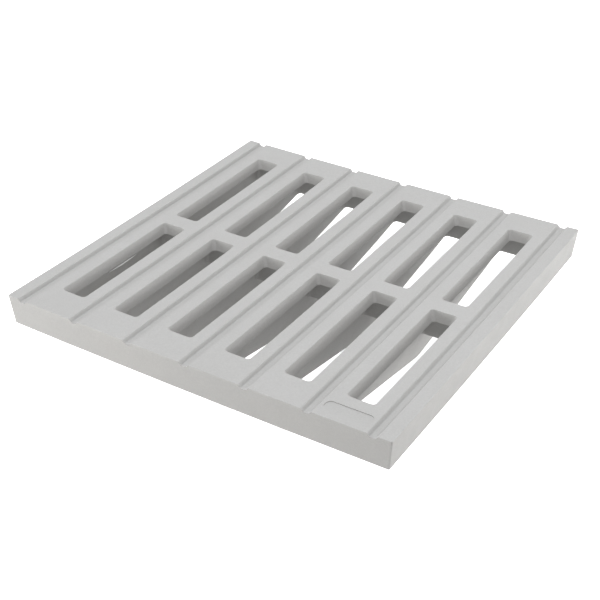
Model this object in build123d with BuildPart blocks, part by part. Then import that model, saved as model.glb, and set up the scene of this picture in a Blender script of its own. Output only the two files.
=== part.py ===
"""Slotted grating panel: a ribbed composite casting with a welded steel cage sealed inside it.

Frame: millimetres, +Z up. The origin is under the middle of the panel, level with the lowest
line of the five V-shaped ribs. +Y runs along the ribs, and the name plate field is at -Y, +X.
"""
from build123d import *
from math import asin, atan, hypot, tan
import os

# ---------------------------------------------------------------- driving dimensions
PANEL = 500.0            # outer width and depth at the top face
RIM_DEPTH = 38.5         # height of the outer skirt
PLATE_T = 13.0           # thickness of the slotted top plate
RIB_DEPTH = 82.0         # top face to the lowest line of a rib
RIM_DRAFT = 3.0          # how far each outer side leans in over the skirt's height
RIM_INNER = 212.5        # half-width of the pocket inside the skirt, at the skirt's bottom
POCKET_LEAN = 1.5        # the pocket is this much narrower, each side, at the plate

PITCH = 76.0             # beam to beam
BEAMS = 7                # longitudinal beams, the two edge beams included
SLOT_W = 33.4            # slot mouth at the top face
SLOT_L = 194.3
CROSSBAR_W = 23.7        # top face between the two rows of slots
SLOT_INSET = 5.5         # the mouth narrows by this on every side down to the plate's underside
SLOT_R = 4.5             # corner radius, mouth and throat
CORNER_R = 2.0           # upright outer corners
BOTTOM_EDGE_R = 1.2
TOP_EDGE_R = 1.0
MOUTH_EDGE_R = 0.8
THROAT_EDGE_R = 0.8
INSIDE_CORNER_R = 5.0    # upright corners under the plate, where ribs, cross rib and skirt meet
ROOT_R = 4.0             # fillet between the plate's underside and the ribs and skirt

GROOVE_W = 12.5          # shallow drain groove along each beam
GROOVE_FLOOR_W = 6.5
GROOVE_DEPTH = 4.0
GROOVE_FLOOR_R = 2.5     # rounding between a groove's floor and walls

RIB_ROOT_W = 22.8        # rib width at the plate
RIB_TIP_W = 6.2          # rib width at its lowest line
RIB_APEX_R = 30.0        # rounding of the V at mid-span
CROSS_RIB_ROOT_W = 23.0
CROSS_RIB_TIP_W = 20.0

FIELD_W = 55.0           # blank, sunk name plate field
FIELD_D = 15.0
FIELD_R = 6.0
FIELD_DEPTH = 0.8

MAIN_BAR_D = 6.0         # steel near the bottom faces
TOP_BAR_D = 5.0          # steel under the top face
STRUT_D = 4.0
TOP_BAR_AT = 10.0        # top face to the top bars' centres
MAIN_BAR_AT = 24.0       # top face to the main bars' centres, where they run level
BAR_END = 240.0          # bars stop this far from the middle
RIM_BAR_AT = 230.0       # bars inside the skirt
RIB_BAR_BEND = 205.0     # where a V bar leaves the level stretch in the skirt
RIB_BAR_LOW = 18.0       # height of a V bar's centre at mid-span, before its bend is rounded
SKIRT_BEND_R = 40.0
MID_BEND_R = 60.0
STRUT_AT = 70.0          # struts stand this far from the middle

# ---------------------------------------------------------------- derived heights and places
Z_TOP = RIB_DEPTH
Z_PLATE = Z_TOP - PLATE_T
Z_RIM = Z_TOP - RIM_DEPTH
HALF = PANEL / 2
BEAM_X = [(i - (BEAMS - 1) / 2) * PITCH for i in range(BEAMS)]
RIB_X = BEAM_X[1:-1]
ROW_Y = (CROSSBAR_W + SLOT_L) / 2
FIELD_X = BEAM_X[-2] + PITCH / 2
FIELD_Y = -HALF + 20.0

# Each rib's V would meet a little under z = 0, so that its rounding just touches z = 0.
RIB_SLOPE = asin(RIB_APEX_R / hypot(RIM_INNER, Z_RIM - RIB_APEX_R)) + atan((Z_RIM - RIB_APEX_R) / RIM_INNER)
RIB_POINT = Z_RIM - RIM_INNER * tan(RIB_SLOPE)

Z_TOP_BAR = Z_TOP - TOP_BAR_AT
Z_TOP_CROSS = Z_TOP_BAR - TOP_BAR_D
Z_MAIN_BAR = Z_TOP - MAIN_BAR_AT
Z_BOTTOM_CROSS = Z_MAIN_BAR - MAIN_BAR_D

OVERSHOOT = 5.0          # tools run this far past the faces they cut or join
GROOVE_TOOL_W = GROOVE_W + (GROOVE_W - GROOVE_FLOOR_W) * OVERSHOOT / GROOVE_DEPTH
TOL = 0.01

os.makedirs("parts", exist_ok=True)


def save(part, name):
    """Label a finished piece and write it."""
    part.label = name
    export_step(part, f"parts/{name}.step")
    print(f"{name:28s} {part.volume / 1000:9.2f} cm3")


def is_inside_corner(edge):
    """True for the upright edges under the plate, between ribs, cross rib and skirt."""
    box = edge.bounding_box()
    upright = box.size.Z > PLATE_T and max(box.size.X, box.size.Y) < OVERSHOOT
    return upright and max(abs(box.center().X), abs(box.center().Y)) < RIM_INNER


# ---------------------------------------------------------------- steel cage
def straight_bar(plane, length, diameter):
    """Round bar, centred on the plane's origin and along its normal."""
    with BuildPart() as bar:
        with BuildSketch(plane.offset(-length / 2)):
            Circle(diameter / 2)
        extrude(amount=length)
    return bar.part


def along_x(y, z, diameter):
    """Cross bar from side to side."""
    return straight_bar(Plane((0, y, z), x_dir=(0, 1, 0), z_dir=(1, 0, 0)), 2 * BAR_END, diameter)


def along_y(x, z, diameter):
    """Bar from the front skirt to the rear one."""
    return straight_bar(Plane((x, 0, z), x_dir=(1, 0, 0), z_dir=(0, 1, 0)), 2 * BAR_END, diameter)


def v_bar(x):
    """Main bar of one rib: level in the skirts and bent down to follow the rib's V."""
    with BuildPart() as bar:
        with BuildLine() as path:
            FilletPolyline(
                (x, -BAR_END, Z_MAIN_BAR),
                (x, -RIB_BAR_BEND, Z_MAIN_BAR),
                (x, 0, RIB_BAR_LOW),
                (x, RIB_BAR_BEND, Z_MAIN_BAR),
                (x, BAR_END, Z_MAIN_BAR),
                radius=[SKIRT_BEND_R, MID_BEND_R, SKIRT_BEND_R],
            )
        with BuildSketch(Plane(path.line @ 0, z_dir=path.line % 0)):
            Circle(MAIN_BAR_D / 2)
        sweep(path=path.line)
    return bar.part


def strut_pair(x, top_bar, main_bar):
    """Two upright struts between a rib's top bar and its V bar, coped round both."""
    with BuildPart() as struts:
        with BuildSketch(Plane.XY.offset(RIB_BAR_LOW)):
            with Locations((x, -STRUT_AT), (x, STRUT_AT)):
                Circle(STRUT_D / 2)
        extrude(amount=Z_TOP_BAR - RIB_BAR_LOW)
        add(top_bar, mode=Mode.SUBTRACT)
        add(main_bar, mode=Mode.SUBTRACT)
    kept = [s for s in struts.part.solids() if s.bounding_box().size.Z > 2 * MAIN_BAR_D]
    return Part() + kept


cage = {}
for number, x in enumerate(BEAM_X, start=1):
    cage[f"top_bar_{number}"] = along_y(x, Z_TOP_BAR, TOP_BAR_D)
for number, x in enumerate(RIB_X, start=1):
    cage[f"rib_bar_{number}"] = v_bar(x)
    cage[f"rib_struts_{number}"] = strut_pair(x, cage[f"top_bar_{number + 1}"], cage[f"rib_bar_{number}"])
for side, x in (("left", -RIM_BAR_AT), ("right", RIM_BAR_AT)):
    cage[f"{side}_rim_bar"] = along_y(x, Z_MAIN_BAR, MAIN_BAR_D)
for place, y in (("front", -RIM_BAR_AT), ("middle", 0), ("rear", RIM_BAR_AT)):
    cage[f"{place}_upper_cross_bar"] = along_x(y, Z_TOP_CROSS, TOP_BAR_D)
    cage[f"{place}_lower_cross_bar"] = along_x(y, Z_BOTTOM_CROSS, MAIN_BAR_D)

# ---------------------------------------------------------------- casting, made from its tools
# One slot: a funnel through the plate, with rounded corners all the way down.
with BuildPart() as slot:
    with BuildSketch(Plane.XY.offset(Z_TOP)):
        RectangleRounded(SLOT_W, SLOT_L, SLOT_R)
    with BuildSketch(Plane.XY.offset(Z_PLATE)):
        RectangleRounded(SLOT_W - 2 * SLOT_INSET, SLOT_L - 2 * SLOT_INSET, SLOT_R)
    loft()

# One rib: a tapered section, cut to a V in side view.
with BuildPart() as rib:
    with BuildSketch(Plane.XZ.offset(-HALF)):
        with BuildLine():
            Polyline(
                (-RIB_ROOT_W / 2, Z_PLATE),
                (-RIB_TIP_W / 2, RIB_POINT),
                (RIB_TIP_W / 2, RIB_POINT),
                (RIB_ROOT_W / 2, Z_PLATE),
                close=True,
            )
        make_face()
    extrude(amount=PANEL)
    with BuildSketch(Plane.YZ.offset(-HALF)) as profile:
        with BuildLine():
            Polyline(
                (-RIM_INNER - OVERSHOOT, Z_PLATE),
                (-RIM_INNER - OVERSHOOT, Z_RIM),
                (-RIM_INNER, Z_RIM),
                (0, RIB_POINT),
                (RIM_INNER, Z_RIM),
                (RIM_INNER + OVERSHOOT, Z_RIM),
                (RIM_INNER + OVERSHOOT, Z_PLATE),
                close=True,
            )
        make_face()
        fillet(profile.vertices().sort_by(Axis.Y)[0], RIB_APEX_R)
    extrude(amount=PANEL, mode=Mode.INTERSECT)

# The cross rib under the bar between the two rows of slots.
with BuildPart() as cross_rib:
    with BuildSketch(Plane.YZ.offset(-RIM_INNER - OVERSHOOT)):
        with BuildLine():
            Polyline(
                (-CROSS_RIB_ROOT_W / 2, Z_PLATE),
                (-CROSS_RIB_TIP_W / 2, Z_RIM),
                (CROSS_RIB_TIP_W / 2, Z_RIM),
                (CROSS_RIB_ROOT_W / 2, Z_PLATE),
                close=True,
            )
        make_face()
    extrude(amount=2 * (RIM_INNER + OVERSHOOT))

# One drain groove with a rounded floor. Its sloping walls run on above the top face.
with BuildPart() as groove:
    with BuildSketch(Plane.XZ.offset(-HALF - OVERSHOOT)) as groove_section:
        with BuildLine():
            Polyline(
                (-GROOVE_TOOL_W / 2, Z_TOP + OVERSHOOT),
                (-GROOVE_FLOOR_W / 2, Z_TOP - GROOVE_DEPTH),
                (GROOVE_FLOOR_W / 2, Z_TOP - GROOVE_DEPTH),
                (GROOVE_TOOL_W / 2, Z_TOP + OVERSHOOT),
                close=True,
            )
        make_face()
        fillet(groove_section.vertices().group_by(Axis.Y)[0], GROOVE_FLOOR_R)
    extrude(amount=PANEL + 2 * OVERSHOOT)

with BuildPart() as casting:
    # Skirt and plate as one block, leaning in towards the bottom.
    with BuildSketch(Plane.XY.offset(Z_TOP)):
        Rectangle(PANEL, PANEL)
    with BuildSketch(Plane.XY.offset(Z_RIM)):
        Rectangle(PANEL - 2 * RIM_DRAFT, PANEL - 2 * RIM_DRAFT)
    loft()
    fillet(casting.edges().filter_by(lambda e: e.bounding_box().size.Z > RIM_DEPTH / 2), CORNER_R)
    fillet(casting.faces().sort_by(Axis.Z)[0].edges(), BOTTOM_EDGE_R)
    fillet(casting.faces().sort_by(Axis.Z)[-1].edges(), TOP_EDGE_R)

    # Pocket under the plate.
    with BuildSketch(Plane.XY.offset(Z_RIM)):
        Rectangle(2 * RIM_INNER, 2 * RIM_INNER)
    with BuildSketch(Plane.XY.offset(Z_PLATE)):
        Rectangle(2 * (RIM_INNER - POCKET_LEAN), 2 * (RIM_INNER - POCKET_LEAN))
    loft(mode=Mode.SUBTRACT)

    # Ribs divide it into twelve cells, rounded in their corners and where they meet the plate.
    with Locations(*[(x, 0, 0) for x in RIB_X]):
        add(rib.part)
    add(cross_rib.part)
    fillet(casting.edges().filter_by(is_inside_corner), INSIDE_CORNER_R)
    cell_roofs = casting.faces().filter_by_position(Axis.Z, Z_PLATE - TOL, Z_PLATE + TOL)
    fillet(cell_roofs.edges(), ROOT_R)

    # Slots, two rows, with eased edges at the mouth and under the plate.
    with GridLocations(PITCH, 2 * ROW_Y, BEAMS - 1, 2):
        add(slot.part, mode=Mode.SUBTRACT)
    top_face = casting.faces().sort_by(Axis.Z)[-1]
    fillet([edge for wire in top_face.inner_wires() for edge in wire.edges()], MOUTH_EDGE_R)
    cell_roofs = casting.faces().filter_by_position(Axis.Z, Z_PLATE - TOL, Z_PLATE + TOL)
    fillet([edge for roof in cell_roofs for wire in roof.inner_wires() for edge in wire.edges()], THROAT_EDGE_R)

    # Drain grooves, open at the front and rear edges.
    with Locations(*[(x, 0, 0) for x in BEAM_X]):
        add(groove.part, mode=Mode.SUBTRACT)

    # Sunk field of the blank name plate.
    with BuildSketch(Plane.XY.offset(Z_TOP)):
        with Locations((FIELD_X, FIELD_Y)):
            RectangleRounded(FIELD_W, FIELD_D, FIELD_R)
    extrude(amount=-FIELD_DEPTH, mode=Mode.SUBTRACT)

    # Room for the steel.
    for bar in cage.values():
        add(bar, mode=Mode.SUBTRACT)

save(casting.part, "grating_casting")
for name, bar in cage.items():
    save(bar, name)
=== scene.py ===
"""Slotted grating panel in a white light tent.

Frame: metres, +Z up, origin under the middle of the panel, level with the lowest line of its ribs.
+Y runs along the ribs.
"""

from math import cos, pi, radians, sin

import bmesh
import bpy
from mathutils import Euler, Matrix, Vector, noise


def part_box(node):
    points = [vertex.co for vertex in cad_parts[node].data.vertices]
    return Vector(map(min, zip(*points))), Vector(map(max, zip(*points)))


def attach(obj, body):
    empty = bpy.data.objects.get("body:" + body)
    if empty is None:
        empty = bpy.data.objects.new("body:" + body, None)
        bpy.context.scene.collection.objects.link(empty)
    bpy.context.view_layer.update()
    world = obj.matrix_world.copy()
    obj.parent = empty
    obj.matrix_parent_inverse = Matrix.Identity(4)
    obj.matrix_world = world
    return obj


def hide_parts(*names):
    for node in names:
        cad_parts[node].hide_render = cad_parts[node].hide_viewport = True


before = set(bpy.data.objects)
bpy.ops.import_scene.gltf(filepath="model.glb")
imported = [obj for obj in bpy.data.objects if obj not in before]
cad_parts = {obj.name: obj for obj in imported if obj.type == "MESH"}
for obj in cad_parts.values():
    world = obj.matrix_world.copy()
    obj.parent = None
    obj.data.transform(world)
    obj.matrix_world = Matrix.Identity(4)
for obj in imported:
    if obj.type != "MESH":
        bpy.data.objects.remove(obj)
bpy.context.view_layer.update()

CASTING = "grating_casting"
CASTING_LOW, CASTING_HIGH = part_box(CASTING)
HALF = CASTING_HIGH.x
SKIRT_LEVEL = 0.0435     # height of the skirt's lower edge

# how the real panel differs from a flat one
DISH = 0.0018            # how far the middle of each side sinks below the corners
UNEVEN = 0.00025         # depth of its slow waves
UNEVEN_SCALE = 12.0      # waves per metre
CELL = 0.02              # the panel is cut this fine before it is bent
WELD = 1e-6              # points closer than this are one point
FLAT = radians(0.2)      # faces that meet at less than this are one flat region
SMOOTH_BELOW = cos(radians(35.0))    # faces that meet at less than this angle are shaded smooth

# a sliver of casting flash on the lower edge of the front left slot
FLASH_X = -0.2012        # the slot's outer side
FLASH_Y = (-0.1300, -0.0780)
FLASH_Z = 0.0690         # underside of the plate
FLASH_ROOT = 0.0012      # how far it reaches into the plate's edge
FLASH_REACH = 0.0026     # how far it stands out at its middle
FLASH_CURL = 0.0006      # how far its tip curls up there
FLASH_THICKNESS = 0.0004
FLASH_STEPS = 16

FLOOR_SIZE = 12.0
WHITE = (1.0, 1.0, 1.0)


# ---------------------------------------------------------------- node helpers
def new_material(name):
    """An empty node material with a Principled surface."""
    material = bpy.data.materials.new(name)
    material.use_nodes = True
    nodes = material.node_tree.nodes
    nodes.clear()
    output = nodes.new("ShaderNodeOutputMaterial")
    surface = nodes.new("ShaderNodeBsdfPrincipled")
    material.node_tree.links.new(surface.outputs["BSDF"], output.inputs["Surface"])
    return material, surface


def cloud(material, scale, detail, roughness=0.5):
    """Noise in object space, 0 to 1, with features about 1 / scale metres wide."""
    nodes, links = material.node_tree.nodes, material.node_tree.links
    place = nodes.new("ShaderNodeTexCoord")
    texture = nodes.new("ShaderNodeTexNoise")
    texture.inputs["Scale"].default_value = scale
    texture.inputs["Detail"].default_value = detail
    texture.inputs["Roughness"].default_value = roughness
    links.new(place.outputs["Object"], texture.inputs["Vector"])
    return texture.outputs["Fac"]


def remap(owner, value, low, high, to_low, to_high):
    """Map a value of a material or world from one range to another, clamped."""
    node = owner.node_tree.nodes.new("ShaderNodeMapRange")
    node.inputs["From Min"].default_value = low
    node.inputs["From Max"].default_value = high
    node.inputs["To Min"].default_value = to_low
    node.inputs["To Max"].default_value = to_high
    owner.node_tree.links.new(value, node.inputs["Value"])
    return node.outputs["Result"]


def blend(material, factor, first, second):
    """Mix two colours, each a socket or a linear RGB triple."""
    node = material.node_tree.nodes.new("ShaderNodeMix")
    node.data_type = "RGBA"
    factor_in, first_in, second_in = node.inputs[0], node.inputs[6], node.inputs[7]
    material.node_tree.links.new(factor, factor_in)
    for socket, colour in ((first_in, first), (second_in, second)):
        if isinstance(colour, tuple):
            socket.default_value = (*colour, 1.0)
        else:
            material.node_tree.links.new(colour, socket)
    return node.outputs[2]


def bump(material, height, strength, distance, below=None):
    """A bump of the given depth in metres, on top of another bump if there is one."""
    node = material.node_tree.nodes.new("ShaderNodeBump")
    node.inputs["Strength"].default_value = strength
    node.inputs["Distance"].default_value = distance
    material.node_tree.links.new(height, node.inputs["Height"])
    if below is not None:
        material.node_tree.links.new(below, node.inputs["Normal"])
    return node.outputs["Normal"]


# ---------------------------------------------------------------- materials
def cast_composite():
    """Light grey mineral-filled casting: matt and finely grained, with painted warm bounce light
    on the faces that do not face up.
    """
    material, surface = new_material("cast_composite")
    nodes, links = material.node_tree.nodes, material.node_tree.links
    geometry = nodes.new("ShaderNodeNewGeometry")
    parts = nodes.new("ShaderNodeSeparateXYZ")
    links.new(geometry.outputs["Normal"], parts.inputs["Vector"])
    # painted warm bounce light: faces turned away from straight up get a slightly warmer grey than
    # the top, standing in for warm light bounced up from below
    facing_up = remap(material, parts.outputs["Z"], 0.2, 0.9, 0.0, 1.0)
    base = blend(material, facing_up, (0.372, 0.366, 0.355), (0.372, 0.372, 0.370))
    patches = remap(material, cloud(material, 14.0, 3.0), 0.35, 0.65, 0.0, 0.35)
    base = blend(material, patches, base, (0.345, 0.343, 0.338))
    grain = remap(material, cloud(material, 520.0, 3.0, 0.65), 0.35, 0.65, 0.0, 0.26)
    base = blend(material, grain, base, (0.260, 0.258, 0.254))
    links.new(base, surface.inputs["Base Color"])
    rough = remap(material, cloud(material, 60.0, 4.0), 0.3, 0.7, 0.58, 0.72)
    links.new(rough, surface.inputs["Roughness"])
    waves = bump(material, cloud(material, 25.0, 2.0), 0.4, 0.0006)
    grit = bump(material, cloud(material, 700.0, 3.0, 0.65), 0.5, 0.0003, waves)
    links.new(grit, surface.inputs["Normal"])
    return material


def mill_steel():
    """Dark reinforcing steel with mill scale and thin rust."""
    material, surface = new_material("mill_steel")
    links = material.node_tree.links
    rust = remap(material, cloud(material, 160.0, 5.0, 0.65), 0.52, 0.68, 0.0, 1.0)
    base = blend(material, rust, (0.115, 0.112, 0.110), (0.215, 0.085, 0.040))
    links.new(base, surface.inputs["Base Color"])
    links.new(remap(material, rust, 0.0, 1.0, 0.42, 0.85), surface.inputs["Roughness"])
    links.new(remap(material, rust, 0.0, 1.0, 0.9, 0.1), surface.inputs["Metallic"])
    scale = bump(material, cloud(material, 700.0, 4.0), 0.5, 0.0003)
    links.new(scale, surface.inputs["Normal"])
    return material


def tent_floor():
    """White lit floor."""
    material, surface = new_material("tent_floor")
    tone = blend(material, cloud(material, 1.5, 1.0), (0.90, 0.90, 0.90), (0.92, 0.92, 0.92))
    material.node_tree.links.new(tone, surface.inputs["Base Color"])
    surface.inputs["Roughness"].default_value = 0.9
    surface.inputs["Emission Color"].default_value = (*WHITE, 1.0)
    surface.inputs["Emission Strength"].default_value = 0.8
    return material


# ---------------------------------------------------------------- the panel, bent
def welded_copy(node):
    """The node's shape as a bmesh without seams. Each face knows how large its flat region is."""
    shape = bmesh.new()
    shape.from_mesh(node.data)
    bmesh.ops.remove_doubles(shape, verts=shape.verts, dist=WELD)
    flat_area = shape.faces.layers.float.new("flat_area")
    seen = set()
    for first in shape.faces:
        if first in seen:
            continue
        seen.add(first)
        region, border = [first], [first]
        while border:
            for edge in border.pop().edges:
                if edge.calc_face_angle(FLAT) < FLAT:
                    fresh = [face for face in edge.link_faces if face not in seen]
                    seen.update(fresh)
                    region.extend(fresh)
                    border.extend(fresh)
        total = sum(face.calc_area() for face in region)
        for face in region:
            face[flat_area] = total
    return shape


def cut_evenly(shape):
    """Cut the shape along a grid, so that it can bend."""
    steps = round(2 * HALF / CELL)
    for normal in (Vector((1.0, 0.0, 0.0)), Vector((0.0, 1.0, 0.0))):
        for step in range(1, steps):
            point = normal * (step * CELL - HALF)
            everything = shape.verts[:] + shape.edges[:] + shape.faces[:]
            bmesh.ops.bisect_plane(
                shape, geom=everything, plane_co=point, plane_no=normal, dist=WELD
            )


def sink(place):
    """How far a point of the panel lies below its drawn place: a shallow dish with slow waves.

    The ribs' lower edges stay on the floor.
    """
    dish = DISH * (2.0 - (place.x / HALF) ** 2 - (place.y / HALF) ** 2)
    waves = UNEVEN * (0.5 + 0.5 * noise.noise(place * UNEVEN_SCALE))
    return (dish + waves) * min(1.0, (place.z - CASTING_LOW.z) / SKIRT_LEVEL)


def corner_normals(shape):
    """Smooth normals over fillets that leave flat faces flat: the larger flat region decides."""
    flat_area = shape.faces.layers.float["flat_area"]
    shape.normal_update()
    normals = []
    for face in shape.faces:
        for corner in face.loops:
            total = Vector()
            for other in corner.vert.link_faces:
                if face.normal.dot(other.normal) > SMOOTH_BELOW:
                    total += other.normal * other[flat_area] ** 2
            normals.append(total.normalized() if total.length > 0.0 else face.normal.copy())
    return normals


def bend(name, material):
    """Replace a node by the same shape, bent with the rest of the panel."""
    shape = welded_copy(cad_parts[name])
    cut_evenly(shape)
    for vert in shape.verts:
        vert.co.z -= sink(vert.co)
    for face in shape.faces:
        face.smooth = True
        face.material_index = 0
    normals = corner_normals(shape)
    mesh = bpy.data.meshes.new(name + "_bent")
    shape.to_mesh(mesh)
    shape.free()
    mesh.normals_split_custom_set(normals)
    mesh.materials.append(material)
    piece = bpy.data.objects.new(name + "_bent", mesh)
    bpy.context.scene.collection.objects.link(piece)
    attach(piece, "root")
    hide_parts(name)


def add_flash(material):
    """A thin, bowed sliver of casting flash left hanging on one slot's lower edge."""
    strip = bmesh.new()
    rows = []
    for step in range(FLASH_STEPS + 1):
        along = step / FLASH_STEPS
        bow = sin(pi * along)
        lip = Vector((FLASH_X, FLASH_Y[0] + along * (FLASH_Y[1] - FLASH_Y[0]), FLASH_Z))
        lip.z -= sink(lip) + FLASH_THICKNESS
        tip = lip + Vector((FLASH_REACH * bow, 0.0, FLASH_CURL * bow))
        root = lip - Vector((FLASH_ROOT, 0.0, 0.0))
        rows.append([strip.verts.new(root), strip.verts.new(tip)])
    for (low, low_tip), (high, high_tip) in zip(rows, rows[1:]):
        strip.faces.new((low, low_tip, high_tip, high))
    mesh = bpy.data.meshes.new("flash")
    strip.to_mesh(mesh)
    strip.free()
    mesh.materials.append(material)
    flash = bpy.data.objects.new("flash", mesh)
    bpy.context.scene.collection.objects.link(flash)
    thickness = flash.modifiers.new("thickness", "SOLIDIFY")
    thickness.thickness = FLASH_THICKNESS
    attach(flash, "root")


composite = cast_composite()
steel = mill_steel()
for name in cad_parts:
    bend(name, composite if name == CASTING else steel)
add_flash(composite)

# ---------------------------------------------------------------- floor, light and camera
bpy.ops.mesh.primitive_plane_add(size=FLOOR_SIZE, location=(0.0, 0.0, CASTING_LOW.z))
floor = bpy.context.object
floor.name = "floor"
floor.data.materials.append(tent_floor())
floor.visible_diffuse = False    # the panel's underside is lit by the world, not by the floor


def softbox(name, place, aim, size, power, colour=WHITE):
    """Square area light at a place, turned to face a point."""
    light = bpy.data.lights.new(name, "AREA")
    light.size = size
    light.energy = power
    light.color = colour
    lamp = bpy.data.objects.new(name, light)
    lamp.location = place
    lamp.rotation_euler = (Vector(aim) - Vector(place)).to_track_quat("-Z", "Y").to_euler()
    bpy.context.scene.collection.objects.link(lamp)


def light_tent():
    """A white world that is brightest along the horizon."""
    world = bpy.data.worlds.new("tent")
    world.use_nodes = True
    nodes, links = world.node_tree.nodes, world.node_tree.links
    direction = nodes.new("ShaderNodeTexCoord")
    parts = nodes.new("ShaderNodeSeparateXYZ")
    brightness = nodes.new("ShaderNodeMath")
    brightness.operation = "MULTIPLY"
    links.new(direction.outputs["Generated"], parts.inputs["Vector"])
    from_below = remap(world, parts.outputs["Z"], -0.15, 0.0, 0.69, 2.46)
    to_zenith = remap(world, parts.outputs["Z"], 0.02, 0.35, 1.0, 0.16)
    links.new(from_below, brightness.inputs[0])
    links.new(to_zenith, brightness.inputs[1])
    links.new(brightness.outputs["Value"], nodes["Background"].inputs["Strength"])
    nodes["Background"].inputs["Color"].default_value = (*WHITE, 1.0)
    bpy.context.scene.world = world


softbox("overhead", (-0.65, 0.2, 2.75), (0.0, 0.0, 0.06), 2.2, 81.0)
softbox("near_right", (0.7, 0.1, 0.65), (0.15, 0.0, 0.07), 0.4, 1.5)
softbox("low_right", (1.7, 0.9, 0.1), (0.0, 0.0, 0.06), 1.0, 21.0)
softbox("low_front_left", (-0.6, -1.0, 0.08), (-0.15, -0.2, 0.05), 0.4, 7.0, (1.0, 0.99, 0.97))
light_tent()

camera_data = bpy.data.cameras.new("camera")
camera_data.sensor_width = 36.0
camera_data.lens = 71.28
camera_data.clip_start = 0.05
camera = bpy.data.objects.new("camera", camera_data)
camera.location = (0.6427, -1.0553, 0.8084)
camera.rotation_euler = Euler((1.00600, -0.00451, 0.55655), "XYZ")
bpy.context.scene.collection.objects.link(camera)
bpy.context.scene.camera = camera
bpy.context.scene.view_settings.view_transform = "Standard"
